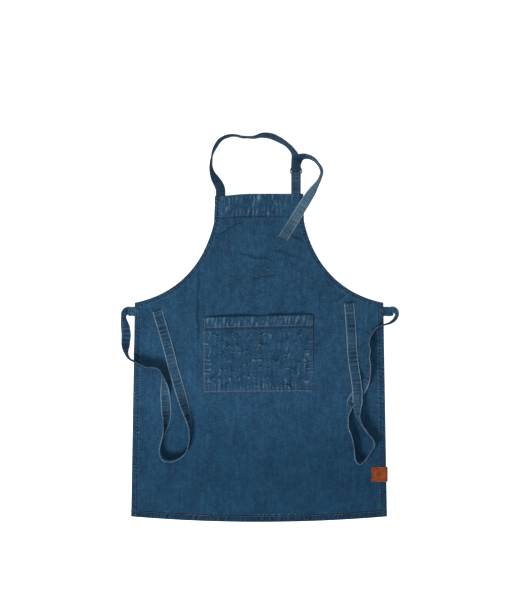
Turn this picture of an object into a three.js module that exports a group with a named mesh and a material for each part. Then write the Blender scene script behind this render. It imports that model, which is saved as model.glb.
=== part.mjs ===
// Denim bib apron laid flat: bib with a turned-down band, divided pocket, leather tab, neck strap closed
// with two D-rings, and two waist ties.
// Millimetres, +X to the wearer's left, +Y to the neck, +Z up off the table.
import * as THREE from 'three';

// Cloth and clearances
const GAP = 0.3;                 // clearance between pieces that touch
const REST = 0.1;                // more clearance where a loose strap rests on the cloth
const CLOTH = 1.0;               // one ply of denim
const HEM_THICK = 1.8;           // turned hem, two plies pressed flat
const STRAP_WIDTH = 27;
const STRAP_THICK = 1.7;

// Outline of the apron
const BIB_HALF = 121;            // half the width of the bib
const BIB_TOP = 366;
const BIB_STRAIGHT_END = 292;    // where the armhole curve leaves the bib's side
const WAIST_HALF = 340;          // half the width at the underarm corner
const WAIST_Y = 68;
const HEM_HALF = 350;            // half the width at the bottom
const BOTTOM_Y = -517;           // bottom corners
const BOTTOM_SAG = 15;           // how far the bottom edge bows below its corners
const ARM_IN = [147, 176];       // the armhole curve's handles
const ARM_OUT = [220, 92];

// Hems and band
const BAND_HEIGHT = 62;
const SIDE_HEM = 14;
const ARM_HEM = 10;
const BOTTOM_HEM = 18;
const STUB_LENGTH = 26;          // how much of each strap is sewn in

// Pocket
const POCKET_WIDTH = 300;
const POCKET_HEIGHT = 207;
const POCKET_X = -2;
const POCKET_TOP = 31;
const POCKET_LIFT = 6.5;         // how far each compartment stands off the panel
const POCKET_SEAM_RISE = 26;     // width over which the cloth rises from a seam
const POCKET_HEM = 31;
const POCKET_HEM_THICK = 0.9;

// D-rings
const WIRE_R = 1.4;
const RING_HALF = 16.2;          // wire centre line, half the width
const RING_DEPTH = 20;           // wire centre line, bar to crown
const RING_CORNER = 3.3;
const RING_X = 101;
const RING_Y = 422;              // the straight bars
const TURN_GAP = 0.35;           // between the ring strap's fold and the neck strap's turn
const TURN_LIFT = 0.6;           // how far the neck strap rides up off the upper ring

// Straps
const NECK_X = -105;
const TIE_Y = 44;
const TIE_OUT = 4.5;             // how far the sewn end shows past the side hem

// Label
const LABEL_WIDTH = 44;
const LABEL_HEIGHT = 41;
const LABEL_THICK = 1.2;
const LABEL_Y = -401;
const LABEL_OUT = 3;             // how far the fold stands out past the hem

// Thread
const THREAD = 0.6;
const THREAD_INSET = 4;

const DENIM = 0x2b4a66;
const DENIM_LIGHT = 0x33536e;
const THREAD_TAN = 0xa9764a;
const LEATHER = 0x8a4a2a;
const DARK_METAL = 0x3a3a3c;

const panelLow = HEM_THICK + GAP;
const panelTop = panelLow + CLOTH;
const onPanel = panelTop + GAP + REST;
const group = new THREE.Group();
group.name = 'apron';

function add(name, geometry, color, roughness = 0.9, metalness = 0) {
  const mesh = new THREE.Mesh(geometry, new THREE.MeshStandardMaterial({ color, roughness, metalness }));
  mesh.name = name;
  group.add(mesh);
}

// Closed solid from rings of corner points; the first and last ring are capped unless it closes on itself.
function skin(rings, closed = false) {
  const positions = [];
  const index = [];
  const sides = rings[0].length;
  for (const ring of rings) {
    for (const corner of ring) {
      positions.push(corner.x, corner.y, corner.z);
    }
  }
  const count = rings.length;
  const last = closed ? count : count - 1;
  for (let i = 0; i < last; i += 1) {
    const next = (i + 1) % count;
    for (let j = 0; j < sides; j += 1) {
      const a = i * sides + j;
      const b = i * sides + (j + 1) % sides;
      const c = next * sides + (j + 1) % sides;
      const d = next * sides + j;
      index.push(a, b, c, a, c, d);
    }
  }
  if (!closed) {
    for (let j = 1; j < sides - 1; j += 1) {
      const end = (count - 1) * sides;
      index.push(0, j + 1, j);
      index.push(end, end + j, end + j + 1);
    }
  }
  const geometry = new THREE.BufferGeometry();
  geometry.setAttribute('position', new THREE.Float32BufferAttribute(positions, 3));
  geometry.setIndex(index);
  geometry.computeVertexNormals();
  return geometry;
}

// Flat plate between two heights.
function plate(outline, low, thickness) {
  const shape = new THREE.Shape(outline.map(([x, y]) => new THREE.Vector2(x, y)));
  const geometry = new THREE.ExtrudeGeometry(shape, { depth: thickness, bevelEnabled: false });
  geometry.translate(0, 0, low);
  return geometry;
}

// Sheet of even thickness over a grid; underside(u, v) gives the lower surface.
function sheet(across, along, underside, thickness) {
  const rings = [];
  for (let j = along; j >= 0; j -= 1) {
    const lower = [];
    const upper = [];
    for (let i = 0; i <= across; i += 1) {
      const point = underside(i / across, j / along);
      lower.push(point);
      upper.unshift(point.clone().add(new THREE.Vector3(0, 0, thickness)));
    }
    rings.push([...lower, ...upper]);
  }
  const sides = rings[0].length;
  const geometry = skin(rings);
  const index = Array.from(geometry.index.array).slice(0, (rings.length - 1) * sides * 6);
  const end = (rings.length - 1) * sides;
  for (let i = 0; i < across; i += 1) {
    const far = sides - 1 - i;
    index.push(i, far, i + 1, i + 1, far, far - 1);
    index.push(end + i, end + i + 1, end + far, end + i + 1, end + far - 1, end + far);
  }
  geometry.setIndex(index);
  return geometry;
}

// One cross-section of a strap: centre, side direction and normal.
function section(centre, side, normal, width, thickness) {
  const s = side.clone().multiplyScalar(width / 2);
  const n = normal.clone().multiplyScalar(thickness / 2);
  return [
    centre.clone().sub(s).sub(n),
    centre.clone().add(s).sub(n),
    centre.clone().add(s).add(n),
    centre.clone().sub(s).add(n),
  ];
}

// Strap sections along a route of [x, y, height of its lowest edge, roll in degrees].
const STEPS = 5;
function strapSections(route, width = STRAP_WIDTH, thickness = STRAP_THICK) {
  const plan = new THREE.CatmullRomCurve3(route.map(([x, y, low]) => new THREE.Vector3(x, y, low)));
  const spans = route.length - 1;
  const rings = [];
  for (let i = 0; i <= spans * STEPS; i += 1) {
    const t = i / (spans * STEPS);
    const span = Math.min(Math.floor(i / STEPS), spans - 1);
    const part = i / STEPS - span;
    const roll = THREE.MathUtils.degToRad(THREE.MathUtils.lerp(route[span][3], route[span + 1][3], part));
    const centre = plan.getPoint(t);
    const along = plan.getTangent(t).setZ(0).normalize();
    const flatSide = new THREE.Vector3(-along.y, along.x, 0);
    const up = new THREE.Vector3(0, 0, 1);
    const side = flatSide.clone().multiplyScalar(Math.cos(roll)).addScaledVector(up, Math.sin(roll));
    const normal = up.clone().multiplyScalar(Math.cos(roll)).addScaledVector(flatSide, -Math.sin(roll));
    centre.z += Math.abs(Math.sin(roll)) * width / 2 + Math.abs(Math.cos(roll)) * thickness / 2;
    rings.push(section(centre, side, normal, width, thickness));
  }
  return rings;
}

// Strap sections along a path of [y, z] in an upright plane at x, side direction along +X.
function uprightSections(path, x, turned) {
  return path.map(([y, z], i) => {
    const before = path[Math.max(i - 1, 0)];
    const after = path[Math.min(i + 1, path.length - 1)];
    const along = new THREE.Vector3(0, after[0] - before[0], after[1] - before[1]).normalize();
    const side = new THREE.Vector3(turned, 0, 0);
    const normal = along.clone().cross(side);
    return section(new THREE.Vector3(x, y, z), side, normal, STRAP_WIDTH, STRAP_THICK);
  });
}

function arc(centreY, centreZ, radius, from, to, count) {
  const points = [];
  for (let i = 0; i <= count; i += 1) {
    const angle = THREE.MathUtils.degToRad(THREE.MathUtils.lerp(from, to, i / count));
    points.push([centreY + radius * Math.cos(angle), centreZ + radius * Math.sin(angle)]);
  }
  return points;
}

function mirror(points) {
  return points.map(([x, y]) => [-x, y]).reverse();
}

// ---- Outline of the right half, from the bib's top corner to the bottom's middle
const armhole = new THREE.CubicBezierCurve(
  new THREE.Vector2(BIB_HALF + 2, BIB_STRAIGHT_END),
  new THREE.Vector2(...ARM_IN),
  new THREE.Vector2(...ARM_OUT),
  new THREE.Vector2(WAIST_HALF, WAIST_Y),
);
const ARM_POINTS = 26;
const armPoints = armhole.getPoints(ARM_POINTS).map((p) => [p.x, p.y]);

function sideX(y) {
  return THREE.MathUtils.mapLinear(y, WAIST_Y, BOTTOM_Y, WAIST_HALF, HEM_HALF);
}

function bottomY(x) {
  return BOTTOM_Y - BOTTOM_SAG * (1 - (x / HEM_HALF) ** 2);
}

const BOTTOM_POINTS = 16;
function bottomRun(fromX, toX, raise) {
  const points = [];
  for (let i = 0; i <= BOTTOM_POINTS; i += 1) {
    const x = THREE.MathUtils.lerp(fromX, toX, i / BOTTOM_POINTS);
    points.push([x, bottomY(x) + raise]);
  }
  return points;
}

const halfOutline = [[BIB_HALF, BIB_TOP], ...armPoints, ...bottomRun(HEM_HALF, 0, 0)];
const outline = [...halfOutline, ...mirror(halfOutline).slice(1)].reverse();
add('body_panel', plate(outline, panelLow, CLOTH), DENIM);

// ---- Band at the top of the bib, with the two strap ends sewn into it
const bandLow = BIB_TOP - BAND_HEIGHT;
const notchHalf = STRAP_WIDTH / 2 + GAP;
const stubLow = BIB_TOP - STUB_LENGTH;
const band = [[-BIB_HALF, bandLow], [BIB_HALF, bandLow], [BIB_HALF, BIB_TOP]];
for (const x of [RING_X, NECK_X]) {
  band.push([x + notchHalf, BIB_TOP], [x + notchHalf, stubLow - GAP]);
  band.push([x - notchHalf, stubLow - GAP], [x - notchHalf, BIB_TOP]);
}
band.push([-BIB_HALF, BIB_TOP]);
add('bib_band', plate(band, 0, HEM_THICK), DENIM_LIGHT);

function box(x0, x1, y0, y1, low, thickness) {
  return plate([[x0, y0], [x1, y0], [x1, y1], [x0, y1]], low, thickness);
}

for (const [name, x] of [['neck_strap_sewn_end', NECK_X], ['ring_strap_sewn_end', RING_X]]) {
  add(name, box(x - STRAP_WIDTH / 2, x + STRAP_WIDTH / 2, stubLow, BIB_TOP, 0, HEM_THICK), DENIM_LIGHT);
}

// ---- Hems, turned to the back of the panel
function offsetIn(points, distance) {
  return points.map((point, i) => {
    const before = points[Math.max(i - 1, 0)];
    const after = points[Math.min(i + 1, points.length - 1)];
    const length = Math.hypot(after[0] - before[0], after[1] - before[1]);
    const nx = (after[1] - before[1]) / length;
    const ny = -(after[0] - before[0]) / length;
    return [point[0] + nx * distance, point[1] + ny * distance];
  });
}

const stubTop = TIE_Y + STRAP_WIDTH / 2;
const stubBottom = TIE_Y - STRAP_WIDTH / 2;
const armEdge = [[BIB_HALF, bandLow - GAP], ...armPoints];
const armInner = offsetIn(armEdge, ARM_HEM);
armInner[0] = [BIB_HALF - ARM_HEM, bandLow - GAP];
armInner[armInner.length - 1] = [WAIST_HALF - ARM_HEM, stubTop + GAP];
const armHem = [...armEdge, [sideX(stubTop + GAP), stubTop + GAP], ...armInner.reverse()];
const sideLow = BOTTOM_Y + BOTTOM_HEM + GAP;
const sideHem = [
  [sideX(stubBottom - GAP), stubBottom - GAP],
  [sideX(sideLow), sideLow],
  [sideX(sideLow) - SIDE_HEM, sideLow],
  [sideX(stubBottom - GAP) - SIDE_HEM, stubBottom - GAP],
];
const labelTop = LABEL_Y + LABEL_HEIGHT / 2;
const labelLow = LABEL_Y - LABEL_HEIGHT / 2;
// The tab's back leaf is sewn on the hem, which is pressed thinner under it.
const recess = [
  [sideX(labelTop + GAP), labelTop + GAP],
  [sideX(labelLow - GAP), labelLow - GAP],
  [sideX(labelLow - GAP) - SIDE_HEM / 2, labelLow - GAP],
  [sideX(labelTop + GAP) - SIDE_HEM / 2, labelTop + GAP],
];
const rightSideHem = [
  sideHem[0], recess[0], recess[3], recess[2], recess[1], ...sideHem.slice(1),
];
add('armhole_hem_left', plate(mirror(armHem), 0, HEM_THICK), DENIM_LIGHT);
add('armhole_hem_right', plate(armHem, 0, HEM_THICK), DENIM_LIGHT);
add('side_hem_left', plate(mirror(sideHem), 0, HEM_THICK), DENIM);
add('side_hem_right', plate(rightSideHem, 0, HEM_THICK), DENIM);
const bottomHem = [...bottomRun(-HEM_HALF, HEM_HALF, 0), ...bottomRun(HEM_HALF, -HEM_HALF, BOTTOM_HEM)];
add('bottom_hem', plate(bottomHem, 0, HEM_THICK), DENIM);

// ---- Sewn ends of the ties, in line with the side hems
for (const [name, turn] of [['left_tie_sewn_end', -1], ['right_tie_sewn_end', 1]]) {
  const inner = WAIST_HALF - SIDE_HEM;
  const outer = WAIST_HALF + TIE_OUT;
  add(name, box(Math.min(turn * inner, turn * outer), Math.max(turn * inner, turn * outer),
    stubBottom, stubTop, 0, HEM_THICK), DENIM_LIGHT);
}

// ---- Leather tab folded round the right side hem
const labelEdge = Math.max(sideX(labelTop), sideX(labelLow)) + GAP;
const labelBackTop = LABEL_THICK;
const labelFrontLow = panelTop + GAP;
const labelReach = labelEdge + LABEL_OUT;
const labelInner = labelReach - LABEL_WIDTH;
const labelBackEnd = sideX(labelLow) - SIDE_HEM / 2 + 2 * GAP;
const labelOuterR = (labelFrontLow + LABEL_THICK) / 2;
const labelInnerR = labelOuterR - LABEL_THICK;
const foldX = labelReach - labelOuterR;
const tab = [[labelBackEnd, 0]];
const foldOut = arc(foldX, labelOuterR, labelOuterR, -90, 90, 10);
const foldIn = arc(foldX, labelOuterR, labelInnerR, 90, -90, 10);
tab.push(...foldOut, [labelInner, labelFrontLow + LABEL_THICK], [labelInner, labelFrontLow], ...foldIn);
tab.push([labelBackEnd, labelBackTop]);
const tabGeometry = plate(tab, -LABEL_HEIGHT / 2, LABEL_HEIGHT);
tabGeometry.rotateX(Math.PI / 2);
tabGeometry.translate(0, LABEL_Y, 0);
add('leather_tab', tabGeometry, LEATHER, 0.6);

// ---- Pocket: one sheet sewn at both sides, along the bottom and down the middle
function rise(distance) {
  return THREE.MathUtils.smootherstep(distance, 0, POCKET_SEAM_RISE);
}

function pocketLow(x, y) {
  const fromSeam = Math.min(Math.abs(x), POCKET_WIDTH / 2 - Math.abs(x));
  const fromBottom = y - (POCKET_TOP - POCKET_HEIGHT);
  const hemLow = POCKET_TOP - POCKET_HEM;
  const hemRoom = THREE.MathUtils.smoothstep(y, hemLow - 20, hemLow - 2);
  const lift = POCKET_LIFT * rise(fromSeam) * rise(fromBottom);
  return panelTop + GAP + lift + hemRoom * (POCKET_HEM_THICK + GAP);
}

const ACROSS = 48;
const ALONG = 30;
add('pocket_panel', sheet(ACROSS, ALONG, (u, v) => {
  const x = (u - 0.5) * POCKET_WIDTH;
  const y = POCKET_TOP - POCKET_HEIGHT * (1 - v);
  return new THREE.Vector3(POCKET_X + x, y, pocketLow(x, y));
}, CLOTH), DENIM);
add('pocket_top_hem', sheet(ACROSS, 3, (u, v) => {
  const x = (u - 0.5) * POCKET_WIDTH;
  const y = POCKET_TOP - POCKET_HEM * (1 - v);
  return new THREE.Vector3(POCKET_X + x, y, pocketLow(x, POCKET_TOP) - GAP - POCKET_HEM_THICK);
}, POCKET_HEM_THICK), DENIM_LIGHT);

// ---- Threads: each a thin line lying on the cloth it holds
function thread(name, points, color) {
  const route = points.map(([x, y, low]) => [x, y, low, 0]);
  add(name, skin(strapSections(route, THREAD, THREAD)), color, 0.7);
}

function onPocket(x, y) {
  return [POCKET_X + x, y, pocketLow(x, y) + CLOTH + GAP];
}

function line(count, place) {
  return Array.from({ length: count + 1 }, (_, i) => place(i / count));
}

const threadSpan = POCKET_WIDTH / 2 - THREAD_INSET;
thread('pocket_mouth_thread', line(ACROSS, (t) => (
  onPocket((2 * t - 1) * threadSpan, POCKET_TOP - POCKET_HEM + THREAD_INSET))), THREAD_TAN);
thread('pocket_divider_thread', line(ALONG, (t) => (
  onPocket(0, POCKET_TOP - POCKET_HEM - t * (POCKET_HEIGHT - POCKET_HEM - THREAD_INSET)))), THREAD_TAN);
thread('bottom_hem_thread', line(BOTTOM_POINTS, (t) => {
  const x = (2 * t - 1) * (HEM_HALF - SIDE_HEM);
  return [x, bottomY(x) + BOTTOM_HEM - THREAD_INSET, panelTop + GAP];
}), THREAD_TAN);
thread('bib_band_thread', line(4, (t) => (
  [(2 * t - 1) * (BIB_HALF - THREAD_INSET), bandLow + THREAD_INSET, panelTop + GAP])), DENIM_LIGHT);

// ---- D-rings: two stacked wire rings held by the ring strap's fold
const lowerRingZ = STRAP_THICK + GAP + WIRE_R;
const upperRingZ = lowerRingZ + 2 * WIRE_R + GAP;
function dRing(z) {
  const path = [];
  const flat = RING_HALF - RING_CORNER;
  for (const x of [-flat, -flat / 3, flat / 3]) {
    path.push([x, 0]);
  }
  path.push(...arc(flat, RING_CORNER, RING_CORNER, -90, 0, 5));
  const rest = RING_DEPTH - RING_CORNER;
  for (let i = 1; i < 24; i += 1) {
    const angle = Math.PI * i / 24;
    path.push([RING_HALF * Math.cos(angle), RING_CORNER + rest * Math.sin(angle)]);
  }
  path.push(...arc(-flat, RING_CORNER, RING_CORNER, 180, 270, 5).slice(0, -1));
  const sides = 10;
  const rings = path.map((point, i) => {
    const before = path[(i + path.length - 1) % path.length];
    const after = path[(i + 1) % path.length];
    const along = new THREE.Vector3(after[0] - before[0], after[1] - before[1], 0).normalize();
    const out = new THREE.Vector3(along.y, -along.x, 0);
    return Array.from({ length: sides }, (_, j) => {
      const angle = 2 * Math.PI * j / sides;
      const place = new THREE.Vector3(RING_X + point[0], RING_Y + point[1], z);
      place.addScaledVector(out, WIRE_R * Math.cos(angle));
      place.z -= WIRE_R * Math.sin(angle);
      return place;
    });
  });
  return skin(rings, true);
}
add('d_ring_lower', dRing(lowerRingZ), DARK_METAL, 0.35, 1);
add('d_ring_upper', dRing(upperRingZ), DARK_METAL, 0.35, 1);

// ---- Ring strap: folded round both bars, its two plies running down to the bib
const barR = WIRE_R + GAP + STRAP_THICK / 2;
const plyLow = STRAP_THICK / 2;
const plyHigh = plyLow + STRAP_THICK + GAP;
const strapStart = BIB_TOP + 2 * GAP;
const upperPly = new THREE.CatmullRomCurve3([
  [RING_Y, upperRingZ + barR], [RING_Y - 9, upperRingZ + barR - 1], [RING_Y - 20, plyHigh + 2.4],
  [RING_Y - 32, plyHigh + 0.3], [RING_Y - 42, plyHigh], [strapStart, plyHigh],
].map(([y, z]) => new THREE.Vector3(0, y, z))).getPoints(24).map((p) => [p.y, p.z]);
const ringStrapPath = [
  [strapStart, plyLow], [strapStart + 25, plyLow],
  ...arc(RING_Y, lowerRingZ, barR, -90, 0, 6),
  ...arc(RING_Y, upperRingZ, barR, 0, 90, 6).slice(0, -1),
  ...upperPly,
];
add('ring_strap', skin(uprightSections(ringStrapPath, RING_X, -1)), DENIM_LIGHT);

// ---- Neck strap: over the neck, under both rings, back over them, and round to the side
const turnHigh = upperRingZ + WIRE_R + TURN_LIFT + GAP + STRAP_THICK / 2;
const turnR = (turnHigh - plyLow) / 2;
const turnY = RING_Y + barR + STRAP_THICK + TURN_GAP + turnR;
const neckRoute = [
  [NECK_X, strapStart, 0, 0], [NECK_X, 376, 0, 2], [-110, 390, 0, 10], [-120, 407, 0, 32],
  [-128, 424, 0, 60], [-132, 445, 0, 80], [-130, 470, 0, 96], [-121, 492, 0, 112], [-107, 511, 0, 119],
  [-86, 522, 0, 118], [-62, 526, 0, 102], [-40, 522, 0, 94], [-15, 521, 0, 90], [10, 525, 0, 68],
  [35, 521, 0, 56], [60, 509, 0, 60], [80, 496, 0, 70], [93, 481, 0, 64], [99, 466, 0, 36],
  [RING_X, 453, 0, 8], [RING_X, 446, 0, 0],
];
const turnPath = [
  [RING_Y + 16, plyLow],
  ...arc(turnY, plyLow + turnR, turnR, 270, 90, 12),
  [RING_Y + 14, turnHigh + 0.4], [RING_Y + 19, turnHigh + 1],
];
const tailArc = [
  [RING_X, 446, turnHigh + 0.4, 180], [104, 454, 9, 186], [111, 462, 4, 214], [122, 466, 1, 240],
  [137, 464, 0, 251], [151, 456, 0, 258], [162, 442, 0, 264], [167, 426, 0, 270], [165, 411, 0, 279], [160, 397, 1, 290],
];
const neckSections = [
  ...strapSections(neckRoute),
  ...uprightSections(turnPath, RING_X, 1),
  ...strapSections(tailArc),
];
add('neck_strap', skin(neckSections), DENIM_LIGHT);
const onThread = onPanel + THREAD + GAP;
const tailRoute = [
  [159.6, 396.2, 1, 290.5], [150, 379, 2.6, 318], [138, 361, onThread, 342], [122, 335, onThread, 357],
  [104, 306, onThread, 360], [85, 275, onPanel, 360], [65, 243, onPanel, 360],
];
add('neck_strap_tail', skin(strapSections(tailRoute)), DENIM_LIGHT);

// ---- Waist ties: each starts with a round crease beside its sewn end, so it can swing clear of the hem
// The routes are laid out for an apron of this half width at the underarm and at the bottom, and move
// out or in with the side hem on an apron of another width.
const ROUTE_WAIST = 340;
const ROUTE_HEM = 350;
const leftTie = [
  [-366, 40, 0, -46], [-369, 30, 0, -66], [-368, 17, 0, -50], [-365, 1, 0, -22], [-363, -20, 0, -12],
  [-364, -48, 0, -32], [-362, -70, 0.5, -75], [-354, -86, 2, -88], [-340, -94, onPanel, -90],
  [-322, -101, onPanel, -90], [-305, -109, onPanel, -90], [-289, -109, onPanel, -90],
  [-274, -114, onPanel, -90], [-264, -131, onPanel, -98], [-258, -160, onPanel, -140],
  [-256, -190, onPanel, -172], [-254, -222, onPanel, -186], [-252, -254, onPanel, -226],
  [-257, -286, onPanel, -260], [-266, -315, onPanel, -268], [-270, -340, onPanel, -270],
  [-261, -359, onPanel, -270], [-241, -364, onPanel, -270], [-218, -356, onPanel, -270],
  [-199, -338, onPanel, -270], [-190, -308, onPanel, -272], [-189, -275, onPanel, -281],
  [-196, -240, onPanel, -308], [-207, -203, onPanel, -336], [-220, -160, onPanel, -353],
  [-234, -112, onPanel, -360], [-248, -56, onPanel, -360], [-263, -4, onPanel, -360],
  [-278, 46, onPanel, -360],
];
const rightTie = [
  [366, 47, 0, 30], [373, 44, 0, 60], [376, 35, 0, 72], [372, 25, 0, 72], [365, 17, 0, 76],
  [354, 10, 1.5, 84], [341, 6, onPanel, 88], [326, 3, onPanel, 90], [313, -9, onPanel, 90],
  [303, -27, onPanel, 90], [299, -45, onPanel, 90], [303, -62, onPanel, 90], [300, -81, onPanel, 90],
  [303, -101, onPanel, 90], [300, -128, onPanel, 82], [291, -149, onPanel, 50],
  [279, -168, onPanel, 15], [266, -184, onPanel, 8], [254, -200, onPanel, 24],
  [246, -218, onPanel, 62], [242, -242, onPanel, 86], [243, -270, onPanel, 90],
  [252, -296, onPanel, 90], [257, -318, onPanel, 90], [260, -342, onPanel, 90],
  [263, -362, onPanel, 90], [273, -371, onPanel, 90], [287, -361, onPanel, 90],
  [301, -342, onPanel, 90], [313, -320, onPanel, 90], [309, -306, onPanel, 90],
  [296, -290, onPanel, 90], [281, -268, onPanel, 92], [270, -244, 5, 106], [267, -222, 9, 138],
  [268, -200, 14, 166], [268, -178, 16, 180], [265, -148, 13, 180], [260, -112, 6, 180],
  [255, -70, onPanel, 180], [252, -12, onPanel, 180], [249, 28, onPanel, 180], [246, 67, onPanel, 180],
];
const tieStart = WAIST_HALF + TIE_OUT + 2 * GAP;
function tie(name, side, route) {
  const start = [0, 0.5, 1.5, 4, 8, 13.5].map((out) => [side * (tieStart + out), TIE_Y, 0, 0]);
  const fitted = route.map(([x, y, low, roll]) => {
    const shift = sideX(y) - THREE.MathUtils.mapLinear(y, WAIST_Y, BOTTOM_Y, ROUTE_WAIST, ROUTE_HEM);
    return [x + side * shift, y, low, roll];
  });
  const rings = strapSections([...start, ...fitted]);
  for (const ring of rings) {
    const middle = ring.reduce((sum, corner) => sum.add(corner), new THREE.Vector3()).multiplyScalar(0.25);
    const out = Math.min(Math.abs(middle.x) - tieStart, STRAP_WIDTH / 2);
    if (rings.indexOf(ring) <= start.length * STEPS) {
      const half = Math.sqrt(Math.max((STRAP_WIDTH / 2) ** 2 - (STRAP_WIDTH / 2 - out) ** 2, 1));
      for (const corner of ring) {
        corner.y = middle.y + (corner.y - middle.y) * half / (STRAP_WIDTH / 2);
      }
    }
  }
  add(name, skin(rings), DENIM_LIGHT);
}
tie('left_tie', -1, leftTie);
tie('right_tie', 1, rightTie);

export default group;
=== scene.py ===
import math

import bpy
import numpy as np
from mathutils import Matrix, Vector, noise


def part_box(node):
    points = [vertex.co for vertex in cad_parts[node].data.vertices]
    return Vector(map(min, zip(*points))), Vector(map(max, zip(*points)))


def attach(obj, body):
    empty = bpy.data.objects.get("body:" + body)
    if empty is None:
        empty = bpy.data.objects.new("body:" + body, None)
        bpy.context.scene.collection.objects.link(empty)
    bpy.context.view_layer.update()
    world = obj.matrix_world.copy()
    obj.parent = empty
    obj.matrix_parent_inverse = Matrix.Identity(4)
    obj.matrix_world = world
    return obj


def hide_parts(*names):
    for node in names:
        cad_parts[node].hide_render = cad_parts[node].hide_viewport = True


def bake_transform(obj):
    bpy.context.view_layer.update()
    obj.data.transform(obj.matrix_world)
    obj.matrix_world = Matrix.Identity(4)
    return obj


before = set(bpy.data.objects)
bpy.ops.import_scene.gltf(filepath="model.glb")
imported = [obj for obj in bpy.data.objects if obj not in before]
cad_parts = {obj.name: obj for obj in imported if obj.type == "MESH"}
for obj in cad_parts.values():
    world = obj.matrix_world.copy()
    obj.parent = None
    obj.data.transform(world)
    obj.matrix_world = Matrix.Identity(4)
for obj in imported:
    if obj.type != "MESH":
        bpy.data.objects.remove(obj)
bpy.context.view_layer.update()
scene = bpy.context.scene
MM = 0.001

# Sizes in millimetres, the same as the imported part's
BIB_HALF, BIB_TOP, BIB_STRAIGHT = 121.0, 366.0, 292.0
WAIST_HALF, WAIST_Y = 340.0, 68.0
HEM_HALF, BOTTOM_Y, BOTTOM_SAG = 350.0, -517.0, 15.0
ARM = np.array([(BIB_HALF + 2, BIB_STRAIGHT), (147.0, 176.0), (220.0, 92.0), (WAIST_HALF, WAIST_Y)])
BAND, SIDE_HEM, ARM_HEM, BOTTOM_HEM = 62.0, 14.0, 10.0, 18.0
POCKET_X, POCKET_TOP, POCKET_W, POCKET_H, POCKET_HEM = -2.0, 31.0, 300.0, 207.0, 31.0
STRAP_W, STRAP_T, SEWN = 27.0, 1.7, 25.0
NECK_X, RING_X, RING_Y = -105.0, 101.0, 422.0
LOWER_RING_Z, UPPER_RING_Z = 3.4, 6.5
WIRE_R, RING_HALF, RING_DEPTH, RING_CORNER = 1.4, 16.2, 20.0, 3.3
TIE_Y = 44.0
CLOTH_T = 0.95
HEM_TOP = 1.85
STITCH_IN, BAND_STITCH = 2.6, (5.0, BAND - 3.5)
POCKET_STITCH, SECOND_STITCH, MOUTH_STITCH = 3.0, 8.5, POCKET_HEM - 4


# ---- camera and stage
def make_camera():
    data = bpy.data.cameras.new("camera")
    cam = bpy.data.objects.new("camera", data)
    scene.collection.objects.link(cam)
    middle_x, middle_y, height = 0.0027, 0.0588, 3.4
    view_tall = 1.674
    data.sensor_fit = "VERTICAL"
    data.sensor_height = 24.0
    data.lens = data.sensor_height * height / view_tall
    cam.location = (middle_x, middle_y, height)
    scene.camera = cam


def make_stage():
    half, low = 6.0, -0.0004
    mesh = bpy.data.meshes.new("floor")
    corners = [(-half, -half, low), (half, -half, low), (half, half, low), (-half, half, low)]
    mesh.from_pydata(corners, [], [(0, 1, 2, 3)])
    floor = bpy.data.objects.new("floor", mesh)
    scene.collection.objects.link(floor)
    mat = bpy.data.materials.new("floor")
    mat.use_nodes = True
    bsdf = mat.node_tree.nodes["Principled BSDF"]
    bsdf.inputs["Base Color"].default_value = (0.93, 0.93, 0.93, 1)
    bsdf.inputs["Roughness"].default_value = 0.9
    bsdf.inputs["Emission Color"].default_value = (1, 1, 1, 1)
    bsdf.inputs["Emission Strength"].default_value = 0.75
    mesh.materials.append(mat)
    world = bpy.data.worlds.new("world")
    scene.world = world
    world.use_nodes = True
    background = world.node_tree.nodes["Background"]
    background.inputs["Color"].default_value = (1, 1, 1, 1)
    background.inputs["Strength"].default_value = 0.2
    for name, place, size, power in (
        ("key", (-1.1, -1.7, 1.7), 0.7, 70),
        ("overhead", (0.1, 0.9, 3.3), 1.4, 36),
    ):
        light = bpy.data.lights.new(name, "AREA")
        light.size = size
        light.energy = power
        lamp = bpy.data.objects.new(name, light)
        lamp.location = place
        lamp.rotation_euler = (Vector((0, 0, 0)) - Vector(place)).to_track_quat("-Z", "Y").to_euler()
        scene.collection.objects.link(lamp)
    scene.view_settings.view_transform = "Standard"


make_camera()
make_stage()


# ---- small maths
def smooth(a, b, x):
    t = np.clip((np.asarray(x, float) - a) / (b - a), 0, 1)
    return t * t * (3 - 2 * t)


def bump_at(x, middle, width):
    return np.exp(-(((np.asarray(x, float) - middle) / width) ** 2))


def fractal(x, y, size, seed, octaves=2, stretch=(1.0, 1.0)):
    """Smooth noise about -1 to 1 at each (x, y) in millimetres; size is its largest wave."""
    out = np.zeros(len(x))
    for i in range(len(x)):
        p = Vector((x[i] / size / stretch[0], y[i] / size / stretch[1], seed * 7.31))
        out[i] = noise.fractal(p, 0.8, 2.1, octaves)
    return out


def run_lengths(points):
    """Distance along the points to each of them."""
    return np.concatenate([[0], np.cumsum(np.linalg.norm(np.diff(points, axis=0), axis=1))])


def sampled(points, place, at):
    """The points' coordinates at some places along them; place is each point's own."""
    return np.stack([np.interp(at, place, points[:, k]) for k in range(points.shape[1])], axis=1)


def dense(points, step=1.5):
    """The same line with a point at every step."""
    points = np.asarray(points, float)
    place = run_lengths(points)
    return sampled(points, place, np.arange(0, place[-1], step))


def directions(points):
    """Direction of travel at each point."""
    d = np.gradient(points, axis=0)
    return d / np.linalg.norm(d, axis=1)[:, None]


def arc(middle_a, middle_b, radius, start, end, count=14):
    angle = np.radians(np.linspace(start, end, count))
    return [(middle_a + radius * math.cos(t), middle_b + radius * math.sin(t)) for t in angle]


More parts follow.
